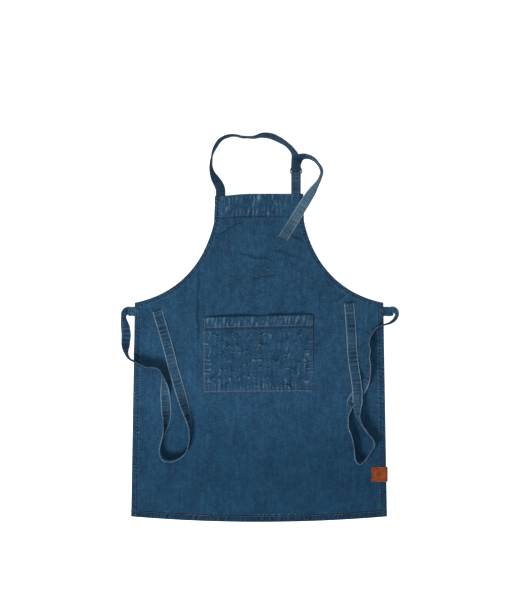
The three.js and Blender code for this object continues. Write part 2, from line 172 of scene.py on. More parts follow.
def curve_points(points, per_span):
    """Centripetal Catmull-Rom through the points: (spans * per_span + 1, n) samples."""
    pts = np.asarray(points, float)
    pts = np.vstack([2 * pts[0] - pts[1], pts, 2 * pts[-1] - pts[-2]])
    out = []
    for i in range(1, len(pts) - 2):
        p0, p1, p2, p3 = pts[i - 1 : i + 3]
        gaps = np.sum(np.diff(pts[i - 1 : i + 3, :3], axis=0) ** 2, axis=1)
        d0, d1, d2 = np.maximum(gaps**0.25, 1e-4)
        t1 = ((p1 - p0) / d0 - (p2 - p0) / (d0 + d1) + (p2 - p1) / d1) * d1
        t2 = ((p2 - p1) / d1 - (p3 - p1) / (d1 + d2) + (p3 - p2) / d2) * d1
        square = -3 * p1 + 3 * p2 - 2 * t1 - t2
        cube = 2 * p1 - 2 * p2 + t1 + t2
        last = i == len(pts) - 3
        for k in range(per_span + last):
            w = k / per_span
            out.append(p1 + t1 * w + square * w**2 + cube * w**3)
    return np.array(out)


# ---- mesh helpers
def make_object(name, verts, faces, material, uvs=None, wear_and_painted_light=None):
    mesh = bpy.data.meshes.new(name)
    mesh.from_pydata((np.asarray(verts) * MM).tolist(), [], faces)
    mesh.update()
    if uvs is not None:
        layer = mesh.uv_layers.new(name="cloth")
        index = np.zeros(len(mesh.loops), np.int32)
        mesh.loops.foreach_get("vertex_index", index)
        layer.data.foreach_set("uv", (np.asarray(uvs)[index] * MM).ravel().astype(np.float32))
    # Per point, above 0: rubbed paler or a painted highlight; below 0: darker, mostly painted shade in
    # creases, grooves and pucker dips.
    attribute = mesh.attributes.new("wear_and_painted_light", "FLOAT", "POINT")
    values = np.zeros(len(mesh.vertices)) if wear_and_painted_light is None else np.asarray(wear_and_painted_light)
    attribute.data.foreach_set("value", values.astype(np.float32))
    mesh.materials.append(material)
    mesh.shade_smooth()
    obj = bpy.data.objects.new(name, mesh)
    scene.collection.objects.link(obj)
    return obj


def grid_faces(rows, cols, closed_cols=False, closed_rows=False, base=0, flip=False):
    faces = []
    for i in range(rows if closed_rows else rows - 1):
        for j in range(cols if closed_cols else cols - 1):
            a = base + i * cols + j
            b = base + i * cols + (j + 1) % cols
            c = base + ((i + 1) % rows) * cols + (j + 1) % cols
            d = base + ((i + 1) % rows) * cols + j
            faces.append((a, d, c, b) if flip else (a, b, c, d))
    return faces


def tube_faces(rows, ring, base=0):
    """Faces of a closed tube made of rings of points, with both ends capped."""
    faces = grid_faces(rows, ring, closed_cols=True, base=base)
    faces.append(tuple(base + j for j in reversed(range(ring))))
    faces.append(tuple(base + (rows - 1) * ring + j for j in range(ring)))
    return faces


def slab(name, top, bottom, rows, cols, material, uvs, wear_and_painted_light):
    """Closed sheet from a grid of top points and one of bottom points: rows run up +Y, columns along +X."""
    n = rows * cols
    faces = grid_faces(rows, cols) + grid_faces(rows, cols, base=n, flip=True)
    rim = list(range(cols))
    rim += [i * cols + cols - 1 for i in range(1, rows)]
    rim += [(rows - 1) * cols + j for j in range(cols - 2, -1, -1)]
    rim += [i * cols for i in range(rows - 2, 0, -1)]
    for a, b in zip(rim, rim[1:] + rim[:1]):
        faces.append((b, a, a + n, b + n))
    both = np.vstack([top, bottom])
    return make_object(name, both, faces, material, np.vstack([uvs, uvs]), np.hstack([wear_and_painted_light, wear_and_painted_light]))


def fix_outward(obj):
    """Turns the faces out if the shape was built inside out."""
    mesh = obj.data
    volume = sum(face.center.dot(face.normal) * face.area for face in mesh.polygons)
    if volume < 0:
        mesh.flip_normals()


def fix_to(obj, body, node):
    """The piece moves with the body and stands for the node."""
    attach(obj, body)
    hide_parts(node)


STITCH, STITCH_PITCH, STITCH_SIDES = 3.1, 3.7, 6
# A stitch's rings: how far along it each is, its share of the full width, and how high its middle sits
STITCH_RINGS = (
    (0.0, 0.25, -0.55), (0.14, 0.8, 0.35), (0.5, 1.0, 0.35), (0.86, 0.8, 0.35), (1.0, 0.25, -0.55),
)


def stitch_mesh(name, runs, material, width=0.78, height=0.46):
    """Rows of short raised stitches. Each run is (points, normals): stitches lie along it, half sunk."""
    verts, faces = [], []
    for points, normals in runs:
        place = run_lengths(points)
        count = int((place[-1] - STITCH) // STITCH_PITCH) + 1
        for k in range(max(count, 0)):
            faces += tube_faces(len(STITCH_RINGS), STITCH_SIDES, len(verts))
            for share, wide, sunk in STITCH_RINGS:
                s = k * STITCH_PITCH + share * STITCH
                p, ahead, behind = sampled(points, place, [s, min(s + 0.5, place[-1]), max(s - 0.5, 0)])
                n = sampled(normals, place, [s])[0]
                t = (ahead - behind) / max(np.linalg.norm(ahead - behind), 1e-9)
                side = np.cross(n, t)
                side /= max(np.linalg.norm(side), 1e-9)
                for angle in np.linspace(0, 2 * math.pi, STITCH_SIDES, endpoint=False):
                    up = height * (sunk + wide * math.sin(angle))
                    verts.append(p + side * math.cos(angle) * width / 2 * wide + n * up)
    return make_object(name, verts, faces, material)


# ---- materials
class Nodes:
    """A short way to write a material's node tree."""

    def __init__(self, name):
        self.mat = bpy.data.materials.new(name)
        self.mat.use_nodes = True
        self.tree = self.mat.node_tree
        self.bsdf = self.tree.nodes["Principled BSDF"]

    def put(self, target, value):
        if isinstance(value, bpy.types.NodeSocket):
            self.tree.links.new(value, target)
        elif value is not None:
            target.default_value = value

    def surface(self, sockets):
        for name, value in sockets.items():
            self.put(self.bsdf.inputs[name], value)
        return self.mat

    def math(self, kind, a, b=None):
        node = self.tree.nodes.new("ShaderNodeMath")
        node.operation = kind
        self.put(node.inputs[0], a)
        self.put(node.inputs[1], b)
        return node.outputs[0]

    def times(self, a, b):
        return self.math("MULTIPLY", a, b)

    def plus(self, a, b):
        return self.math("ADD", a, b)

    def vector(self, x, y, z):
        node = self.tree.nodes.new("ShaderNodeCombineXYZ")
        for socket, value in zip(node.inputs, (x, y, z)):
            self.put(socket, value)
        return node.outputs[0]

    def noise(self, where, detail=2.0, rough=0.5):
        node = self.tree.nodes.new("ShaderNodeTexNoise")
        node.inputs["Scale"].default_value = 1.0
        node.inputs["Detail"].default_value = detail
        node.inputs["Roughness"].default_value = rough
        self.put(node.inputs["Vector"], where)
        return node.outputs["Fac"]

    def ramp(self, value, low, high, to_low=0.0, to_high=1.0):
        node = self.tree.nodes.new("ShaderNodeMapRange")
        node.interpolation_type = "SMOOTHSTEP"
        for socket, item in zip(node.inputs, (value, low, high, to_low, to_high)):
            self.put(socket, item)
        return node.outputs[0]

    def mix(self, amount, a, b, kind="MIX"):
        node = self.tree.nodes.new("ShaderNodeMix")
        node.data_type = "RGBA"
        node.blend_type = kind
        self.put(node.inputs[0], amount)
        self.put(node.inputs[6], a)
        self.put(node.inputs[7], b)
        return node.outputs[2]

    def shade(self, colour, red, green, blue):
        return self.mix(1.0, colour, self.vector(red, green, blue), "MULTIPLY")

    def bump(self, height, strength, distance, before=None):
        node = self.tree.nodes.new("ShaderNodeBump")
        node.inputs["Strength"].default_value = strength
        node.inputs["Distance"].default_value = distance
        self.put(node.inputs["Height"], height)
        self.put(node.inputs["Normal"], before)
        return node.outputs[0]

    def cloth_mm(self):
        uv = self.tree.nodes.new("ShaderNodeUVMap")
        uv.uv_map = "cloth"
        split = self.tree.nodes.new("ShaderNodeSeparateXYZ")
        self.put(split.inputs[0], uv.outputs[0])
        return self.times(split.outputs[0], 1 / MM), self.times(split.outputs[1], 1 / MM)

    def scaled(self, vector, by):
        node = self.tree.nodes.new("ShaderNodeVectorMath")
        node.operation = "SCALE"
        node.inputs[3].default_value = by
        self.put(node.inputs[0], vector)
        return node.outputs[0]

    def object_mm(self):
        coord = self.tree.nodes.new("ShaderNodeTexCoord")
        return self.scaled(coord.outputs["Object"], 1 / MM)

    def attribute(self, name):
        node = self.tree.nodes.new("ShaderNodeAttribute")
        node.attribute_name = name
        return node.outputs["Fac"]


def linear(rgb):
    """A colour as seen, 0 to 255, as the linear colour that Blender takes."""
    shares = [c / 255 for c in rgb]
    return tuple(c / 12.92 if c <= 0.04 else ((c + 0.055) / 1.055) ** 2.4 for c in shares) + (1.0,)


TWILL_PITCH, TWILL_SLANT, WARP_PITCH = 1.05, 0.55, 0.55


def denim(name, colours, seed, dusk=0.0, fade=None):
    """Washed indigo twill: diagonal ribs, slubby warp threads, pale flecks, wash blotches, worn edges, and
    painted highlights and painted shade from the mesh's per-point attribute.
    colours are its deep, middle and worn ones, and dusk is how much darker it is towards the bottom hem.
    fade is (from, to, half back from, to, colours): along a strap it turns to these paler colours."""
    m = Nodes(name)
    u, v = m.cloth_mm()
    deep, mid, worn = map(linear, colours)
    if fade:
        share = m.times(m.ramp(v, fade[0], fade[1]), m.ramp(v, fade[2], fade[3], 1.0, 0.5))
        deep, mid, worn = (m.mix(share, a, linear(b)) for a, b in zip((deep, mid, worn), fade[4]))
    rib = m.math("SINE", m.times(m.plus(u, m.times(v, TWILL_SLANT)), 2 * math.pi / TWILL_PITCH))
    warp = m.math("SINE", m.times(u, 2 * math.pi / WARP_PITCH))

    def cloud(across, along, step, detail=3.0, rough=0.6):
        return m.noise(m.vector(m.times(u, across), m.times(v, along), seed + step), detail, rough)

    slub = cloud(1.1, 0.055, 0.0)
    weft = cloud(0.06, 0.9, 3.0, 2.0, 0.5)
    fleck = cloud(0.9, 0.7, 7.0, 2.0)
    wash = cloud(0.02, 0.011, 11.0)
    grain = cloud(0.30, 0.24, 17.0, 4.0, 0.7)
    crinkle = cloud(0.11, 0.09, 23.0, 4.0)
    streak = cloud(0.20, 0.012, 29.0, 3.0, 0.65)
    patch = cloud(0.075, 0.05, 37.0, 3.0, 0.65)
    tone = m.times(m.ramp(slub, 0.3, 0.7), 0.2)
    for part, share in ((grain, 0.46), (wash, 0.16), (streak, 0.13), (patch, 0.2)):
        tone = m.plus(tone, m.times(m.ramp(part, 0.32, 0.68), share))
    tone = m.plus(tone, m.times(rib, 0.06))
    colour = m.mix(m.ramp(tone, 0.12, 1.15), deep, mid)
    pale = m.times(m.ramp(fleck, 0.56, 0.72), m.ramp(rib, -0.2, 0.9))
    colour = m.mix(m.times(pale, 0.36), colour, worn)
    colour = m.mix(m.times(m.ramp(weft, 0.55, 0.75), 0.16), colour, worn)
    if dusk:
        low = m.times(m.ramp(v, -430.0, -150.0, 1.0 - dusk, 1.0), m.ramp(v, 40.0, 240.0, 1.0, 1.05))
        colour = m.shade(colour, m.times(low, low), low, m.math("POWER", low, 0.85))
    # The mesh's per-point attribute: above 0 it pales rubbed places and painted highlights, below 0 it
    # darkens the colour with painted shade.
    edge = m.attribute("wear_and_painted_light")
    rubbed_and_highlit = m.times(m.ramp(edge, 0.0, 1.0), m.ramp(grain, 0.25, 0.6, 0.5, 1.0))
    hollow = m.ramp(edge, -1.0, 0.0, 0.3, 1.0)
    weave = m.plus(m.plus(m.times(rib, 0.6), m.times(warp, 0.3)), m.times(slub, 1.4))
    return m.surface({
        "Base Color": m.shade(m.mix(rubbed_and_highlit, colour, worn), hollow, hollow, hollow),
        "Roughness": m.ramp(grain, 0.2, 0.8, 0.78, 0.94),
        "Specular IOR Level": 0.16,
        "Sheen Weight": 0.06,
        "Sheen Roughness": 0.5,
        "Sheen Tint": (0.5, 0.72, 0.95, 1),
        "Normal": m.bump(weave, 0.5, 0.00016, m.bump(crinkle, 0.6, 0.0016)),
    })


def thread(name, colour, dark):
    m = Nodes(name)
    fuzz = m.noise(m.object_mm(), 3.0, 0.6)
    return m.surface({
        "Base Color": m.mix(m.ramp(fuzz, 0.35, 0.65), linear(dark), linear(colour)),
        "Roughness": m.ramp(fuzz, 0.2, 0.8, 0.55, 0.8),
        "Sheen Weight": 0.2,
        "Normal": m.bump(fuzz, 0.5, 0.0002),
    })


def leather(name):
    m = Nodes(name)
    where = m.object_mm()
    cells = m.tree.nodes.new("ShaderNodeTexVoronoi")
    cells.inputs["Scale"].default_value = 1.6
    m.put(cells.inputs["Vector"], where)
    grain = cells.outputs["Distance"]
    pores = m.noise(where, 4.0, 0.6)
    cloud = m.noise(m.scaled(where, 0.12), 3.0, 0.6)
    colour = m.mix(m.ramp(cloud, 0.3, 0.7), linear((102, 38, 8)), linear((142, 62, 16)))
    colour = m.mix(m.times(m.ramp(grain, 0.0, 0.25, 1.0, 0.0), 0.35), colour, linear((64, 22, 6)))
    hollow = m.ramp(m.attribute("wear_and_painted_light"), -1.0, 0.0, 0.45, 1.0)
    return m.surface({
        "Base Color": m.shade(colour, hollow, hollow, hollow),
        "Roughness": m.ramp(pores, 0.2, 0.8, 0.5, 0.72),
        "Specular IOR Level": 0.25,
        "Normal": m.bump(m.plus(grain, m.times(pores, 0.5)), 0.5, 0.0003),
    })


def ring_metal(name):
    m = Nodes(name)
    tarnish = m.noise(m.object_mm(), 4.0, 0.6)
    return m.surface({
        "Base Color": m.mix(m.ramp(tarnish, 0.35, 0.7), linear((30, 30, 33)), linear((74, 73, 72))),
        "Metallic": 1.0,
        "Roughness": m.ramp(tarnish, 0.2, 0.8, 0.34, 0.55),
        "Normal": m.bump(tarnish, 0.2, 0.0002),
    })


DENIM_BODY = denim("denim_body", ((12, 42, 68), (38, 86, 118), (124, 152, 170)), 1.0, 0.36)
DENIM_POCKET = denim("denim_pocket", ((10, 40, 66), (38, 84, 116), (108, 138, 160)), 31.0)
DENIM_HEM = denim("denim_hem", ((12, 38, 60), (40, 76, 102), (128, 150, 166)), 47.0)
DENIM_STRAP = denim("denim_strap", ((10, 38, 62), (40, 82, 112), (140, 168, 186)), 59.0)
DENIM_RING = denim("denim_ring", ((20, 44, 68), (54, 82, 108), (136, 158, 174)), 83.0)
NECK_COLOURS = ((8, 30, 50), (32, 66, 92), (96, 124, 144))
TAIL_COLOURS = ((48, 76, 98), (86, 114, 134), (150, 170, 182))
DENIM_NECK = denim("denim_neck", NECK_COLOURS, 65.0, fade=(490.0, 640.0, 725.0, 775.0, TAIL_COLOURS))
THREAD_BLUE = thread("thread_blue", (96, 126, 146), (62, 92, 114))
THREAD_DEEP = thread("thread_deep", (74, 98, 118), (52, 76, 96))
THREAD_TAN = thread("thread_tan", (178, 146, 124), (132, 106, 90))
LEATHER = leather("leather_tan")
METAL = ring_metal("ring_metal")


# ---- the panel's outline
def bezier(t):
    t = np.asarray(t)[:, None]
    return (1 - t) ** 3 * ARM[0] + 3 * (1 - t) ** 2 * t * ARM[1] + 3 * (1 - t) * t**2 * ARM[2] + t**3 * ARM[3]


ARM_RUN = bezier(np.linspace(0, 1, 160))


def half_width(y):
    """Half the panel's width at each height y, for rows above the bottom corners."""
    y = np.asarray(y, float)
    side = WAIST_HALF + (WAIST_Y - y) * (HEM_HALF - WAIST_HALF) / (WAIST_Y - BOTTOM_Y)
    arm = np.interp(y, ARM_RUN[::-1, 1], ARM_RUN[::-1, 0])
    bib = BIB_HALF + 2 * smooth(BIB_TOP, BIB_STRAIGHT, y)
    return np.where(y < WAIST_Y, side, np.where(y < BIB_STRAIGHT, arm, bib))


def bottom_bow(x):
    """How far the bowed bottom edge lies below its corners."""
    return BOTTOM_SAG * (1 - (x / HEM_HALF) ** 2)


def bottom_drop(x, y):
    """How far a row is pushed down to follow the bowed bottom edge."""
    return bottom_bow(x) * smooth(-250, BOTTOM_Y, y)


def bottom_line(x):
    """Points of the bottom edge at these x."""
    return np.stack([x, BOTTOM_Y - bottom_bow(x)], axis=1)


def side_line(y):
    """Points of the right-hand edge at these heights."""
    return np.stack([half_width(y), y], axis=1)


def edge_facts(x, y):
    """For each point: distance from the nearest hemmed edge, that hem's width, and place along the edge."""
    stretches = (
        (side_line(np.linspace(BIB_TOP, BIB_STRAIGHT, 12)), ARM_HEM),
        (ARM_RUN[1:], ARM_HEM),
        (side_line(np.linspace(WAIST_Y - 4, BOTTOM_Y, 60)), SIDE_HEM),
        (bottom_line(np.linspace(HEM_HALF, 0, 50)), BOTTOM_HEM),
    )
    line = np.vstack([points for points, _ in stretches])
    widths = np.concatenate([np.full(len(points), width) for points, width in stretches])
    place = run_lengths(line)
    p = np.stack([np.abs(x), y], axis=1)
    best, along, hem = np.full(len(x), 1e9), np.zeros(len(x)), np.full(len(x), SIDE_HEM)
    for i in range(len(line) - 1):
        a = line[i]
        d = line[i + 1] - a
        t = np.clip(((p - a) @ d) / max(d @ d, 1e-9), 0, 1)
        gap = np.linalg.norm(p - a - t[:, None] * d, axis=1)
        closer = gap < best
        best = np.where(closer, gap, best)
        along = np.where(closer, place[i] + t * (place[i + 1] - place[i]), along)
        hem = np.where(closer, widths[i + 1], hem)
    other_side = 5000
    return best, hem, np.where(x < 0, other_side - along, along)


def roping(along, depth, seed, pitch=9.0):
    """Puckers that a sewn hem takes up in the wash, -1 to 1: uneven in spacing, strength and slant."""
    drift = fractal(along, depth * 0.5, 31.0, seed) * 9.0
    phase = 2 * math.pi * (along + drift + depth * 0.3) / pitch
    strength = 0.62 + 0.75 * fractal(along, np.full(len(along), seed * 5.0), 24.0, seed + 5)
    fine = 0.35 * fractal(along, depth * 0.3, 5.0, seed + 9)
    return np.clip((np.sin(phase) + fine) * np.clip(strength, 0.05, 1.25), -1.2, 1.2)


def creases(x, y, size, seed, stretch=(1.0, 1.0)):
    """Short sharp creases, 0 to 1: the lines where a smooth noise crosses zero, broken up by another."""
    field = fractal(x, y, size, seed, stretch=stretch)
    broken = smooth(-0.15, 0.2, fractal(x, y, size * 1.7, seed + 2))
    return bump_at(field, 0, 0.075) * broken


def wavy_folds(place, warp, pitch):
    """Thin creases about a pitch apart that wander by warp: their crests and the shaded line behind each."""
    turns = (place + warp) / pitch
    off = (turns - np.round(turns)) * pitch
    return bump_at(off, 0, 1.5), bump_at(off, 3.0, 1.8)


# Soft creases left in the panel from folding: their ends in the plan, how strong each crest is (its height
# and painted highlight), and how dark the painted shade beside it is
PRESS_FOLDS = (
    ((-171, 236), (-172, -70), 0.3, 1.5),
    ((-14, 262), (-17, -30), 0.4, 0.4),
    ((-40, 294), (-128, 256), 0.6, 1.3),
    ((60, 262), (150, 214), 0.5, 1.2),
    ((20, 208), (118, 186), 0.5, 1.2),
    ((-70, 196), (46, 176), 0.6, 1.2),
    ((-30, 128), (66, 138), 0.5, 1.2),
    ((196, 60), (262, 98), 0.7, 1.0),
)


def press_folds(x, y):
    """Crests of the folding creases, which also carry a painted highlight, and the lines of painted shade
    beside them.
    """
    crest, shade = np.zeros(len(x)), np.zeros(len(x))
    wander = 7.0 * fractal(x, y, 45, 91)
    for (x0, y0), (x1, y1), pale, dark in PRESS_FOLDS:
        length = math.hypot(x1 - x0, y1 - y0)
        ux, uy = (x1 - x0) / length, (y1 - y0) / length
        along = ((x - x0) * ux + (y - y0) * uy) / length
        off = (y - y0) * ux - (x - x0) * uy + wander
        ends = smooth(0, 0.25, along) * smooth(1, 0.75, along)
        crest += bump_at(off, 0, 3.0) * ends * pale
        shade += bump_at(off, 6.0, 3.5) * ends * dark
    return crest, shade


def bib_drop(x, y):
    """The bib's top left corner lies a little lower than its right one."""
    return 6.5 * smooth(-20, -BIB_HALF, x) * smooth(230, BIB_TOP, y)


def panel_height(x, y):
    """Underside of the panel's cloth, and its wear with painted light and shade: flat over the hems and the
    band, waved and creased between them, and puckered along every seam."""
    gap, hem, along = edge_facts(x, y)
    top_gap = BIB_TOP - y
    over_hem = 1 - smooth(hem, hem + 14, gap)
    over_band = 1 - smooth(BAND, BAND + 14, top_gap)
    support = np.maximum(over_hem, over_band)
    waves = 1.1 * fractal(x, y, 230, 3, 3, (1.0, 1.5)) + 0.6 * fractal(x, y, 70, 5, 3, (1.0, 1.4))
    ridge = 1 - np.abs(fractal(x, y, 190, 9, stretch=(0.8, 1.7)))
    waves += 1.6 * np.clip(ridge - 0.72, 0, 1) * 3.0
    small = 0.2 * fractal(x, y, 16, 12)
    fold = creases(x, y, 62, 15, (1.0, 1.6)) * (1 - support)
    pressed, painted_fold_shade = press_folds(x, y)
    free = 1 - support
    low = 0.35 + np.clip(waves + 0.9 * fold + 1.8 * pressed, 0, 4.2) * free + small
    z = low * free + (HEM_TOP + small * 0.5) * support
    in_hem = 1 - smooth(hem - 1.5, hem + 6, gap)
    rope = roping(along, gap, 2.0)
    z += 0.55 * rope * in_hem * smooth(0.0, 3.0, gap)
    stitch = bump_at(gap, hem - STITCH_IN, 1.3)
    z -= 0.45 * stitch
    in_band = 1 - smooth(BAND - 2, BAND + 9, top_gap)
    rope_band = roping(x, top_gap * 0.25, 7.0, 12.5)
    near_lines = bump_at(top_gap, 8.0, 7.0) + 0.8 * bump_at(top_gap, BAND - 13, 12.0) + 0.15
    tuck = creases(x, y, 30, 25, (0.8, 1.9)) * in_band
    ridges = fractal(x, y, 8.0, 27, stretch=(0.7, 2.4))
    dents = fractal(x, y, 26, 21, stretch=(0.7, 1.8))
    z += (0.6 * rope_band * near_lines + 0.35 * dents + 0.4 * tuck + 0.35 * ridges) * in_band
    for row in BAND_STITCH:
        z -= 0.45 * bump_at(top_gap, row, 1.3)
    outer = np.minimum(gap, np.maximum(top_gap, 0))
    z -= 0.9 * (1 - smooth(0, 2.2, outer))
    # Hems a little darker; pucker crests in the hems worn paler and their troughs darkened with painted
    # shade; the outer folded edge rubbed paler.
    wear_and_painted_light = -0.22 * in_hem + 0.62 * in_hem * rope + 0.35 * bump_at(gap, 0.5, 1.3)
    # A paler worn ridge just past each hem, and a painted shadow line just inside the hem's turned edge.
    wear_and_painted_light += 0.4 * bump_at(gap, hem + 2.2, 1.5) * (0.6 + 0.4 * rope) - 0.5 * bump_at(gap, hem - 0.6, 1.4)
    # Painted highlights on the band's puckers, tucks and ridges, and painted shade in their hollows.
    wear_and_painted_light += in_band * (0.4 * rope_band * near_lines + 0.3 * tuck + 0.3 * ridges)
    # The band's top fold rubbed paler; painted shade along the band's lower edge and in the stitch groove by
    # the hems.
    wear_and_painted_light += 0.3 * bump_at(top_gap, 0.6, 1.8) - 0.75 * bump_at(top_gap, BAND + 1.5, 1.8) - 0.5 * stitch
    # Painted shade in the band's stitch grooves.
    for row in BAND_STITCH:
        wear_and_painted_light -= 0.5 * bump_at(top_gap, row, 1.2)
    # Painted highlight on the pressed folds' crests and painted shade beside them; crease crests a little
    # paler towards the top.
    wear_and_painted_light += (0.26 * pressed - 0.5 * painted_fold_shade) * free + 0.12 * fold * smooth(-260, 60, y)
    above_edge = y - BOTTOM_Y + bottom_bow(x)
    # The bottom hem a little darker.
    wear_and_painted_light -= 0.22 * (1 - smooth(BOTTOM_HEM, BOTTOM_HEM + 3, above_edge))
    return np.clip(z, 0.12, None), np.clip(wear_and_painted_light, -1, 1)


def row_places():
    """Heights of the panel's rows: closer together at the hems, the band and the underarm corner."""
    rows = [BOTTOM_Y]
    while rows[-1] < BIB_TOP - 0.6:
        y = rows[-1]
        step = 3.6
        if y < BOTTOM_Y + 24:
            step = 2.2
        if WAIST_Y - 4 < y < WAIST_Y + 36:
            step = 1.6
        if y > BIB_TOP - BAND - 12:
            step = 2.4
        rows.append(min(y + step, BIB_TOP))
    return np.array(rows)


def build_panel():
    rows = row_places()
    cols = 181
    u = np.linspace(-1, 1, cols)
    closer_at_edges = u * 0.86 + 0.14 * np.sin(u * math.pi / 2)
    x = (half_width(rows)[:, None] * closer_at_edges).ravel()
    y = np.repeat(rows, cols)
    y = y - bottom_drop(x, y)
    low, wear_and_painted_light = panel_height(x, y)
    plan = np.stack([x, y - bib_drop(x, y)], axis=1)
    top, bottom = np.column_stack([plan, low + CLOTH_T]), np.column_stack([plan, low])
    obj = slab("denim_panel", top, bottom, len(rows), cols, DENIM_BODY, plan, wear_and_painted_light)
    fix_to(obj, "apron", "body_panel")
    return obj


panel = build_panel()


# ---- hems and band on the back
def strip(name, node, line, inner, seed, fine=3.0):
    """Turned hem between an outer and an inner line, puckered, with a soft folded edge."""
    outer_run, inner_run = run_lengths(line), run_lengths(inner)
    rows, cols = max(int(outer_run[-1] / fine), 4) + 1, 9
    s, w = np.linspace(0, 1, rows), np.linspace(0, 1, cols)
    outside = sampled(line, outer_run, s * outer_run[-1])[:, None, :]
    inside = sampled(inner, inner_run, s * inner_run[-1])[:, None, :]
    x, y = (outside + (inside - outside) * w[:, None]).reshape(-1, 2).T
    depth = np.tile(w, rows) * np.linalg.norm(line[0] - inner[0])
    rope = roping(np.repeat(s * outer_run[-1], cols), depth, seed)
    round_edge = 0.5 * (1 - smooth(0, 1.6, depth))
    top = HEM_TOP - 0.25 - round_edge + 0.08 * rope
    low = 0.05 + round_edge + 0.10 * np.clip(rope + 0.6, 0, 2)
    wear_and_painted_light = 0.4 * np.clip(rope, 0, 1) + 0.4 * bump_at(depth, 0.5, 1.4)
    plan = np.stack([x, y - bib_drop(x, y)], axis=1)
    sheets = (np.column_stack([plan, height]) for height in (top, low))
    obj = slab(name, *sheets, rows, cols, DENIM_HEM, plan, wear_and_painted_light)
    fix_outward(obj)
    fix_to(obj, "apron", node)
    return obj


def inward(line, distance):
    """The line moved to the right of its direction of travel."""
    d = directions(line)
    return line + np.stack([d[:, 1], -d[:, 0]], axis=1) * distance


def build_hems():
    gap = 0.4
    arm = np.vstack([[(BIB_HALF, BIB_TOP - BAND - gap)], ARM_RUN])
    arm_in = inward(arm, ARM_HEM)
    arm_in[:, 1] = np.maximum(arm_in[:, 1], TIE_Y + STRAP_W / 2 + gap)
    side = side_line(np.linspace(TIE_Y - STRAP_W / 2 - gap, BOTTOM_Y + BOTTOM_HEM + gap, 40))
    pieces = []
    for turn, word in ((-1, "left"), (1, "right")):
        flip = np.array([turn, 1])
        side_in = side - [SIDE_HEM, 0]
        pieces.append(strip("hem_armhole_" + word, "armhole_hem_" + word, arm * flip, arm_in * flip, 2.0))
        pieces.append(strip("hem_side_" + word, "side_hem_" + word, side * flip, side_in * flip, 2.0))
    line = bottom_line(np.linspace(-HEM_HALF, HEM_HALF, 60))
    pieces.append(strip("hem_bottom", "bottom_hem", line, line + [0, BOTTOM_HEM], 2.0))
    under_strap, beside_strap = STRAP_W / 2 + 0.3, STRAP_W / 2 + 0.5
    sewn_top = BIB_TOP - SEWN - 0.6
    parts = (
        ("neck_edge", -BIB_HALF, NECK_X - beside_strap, BIB_TOP),
        ("neck", NECK_X - under_strap, NECK_X + under_strap, sewn_top),
        ("middle", NECK_X + beside_strap, RING_X - beside_strap, BIB_TOP),
        ("ring", RING_X - under_strap, RING_X + under_strap, sewn_top),
        ("ring_edge", RING_X + beside_strap, BIB_HALF, BIB_TOP),
    )
    for word, x0, x1, top in parts:
        line, inner = (np.array([(x0, y), (x1, y)]) for y in (top, BIB_TOP - BAND))
        pieces.append(strip("band_back_" + word, "bib_band", line, inner, 7.0, 1.5))
    return pieces


hems = build_hems()


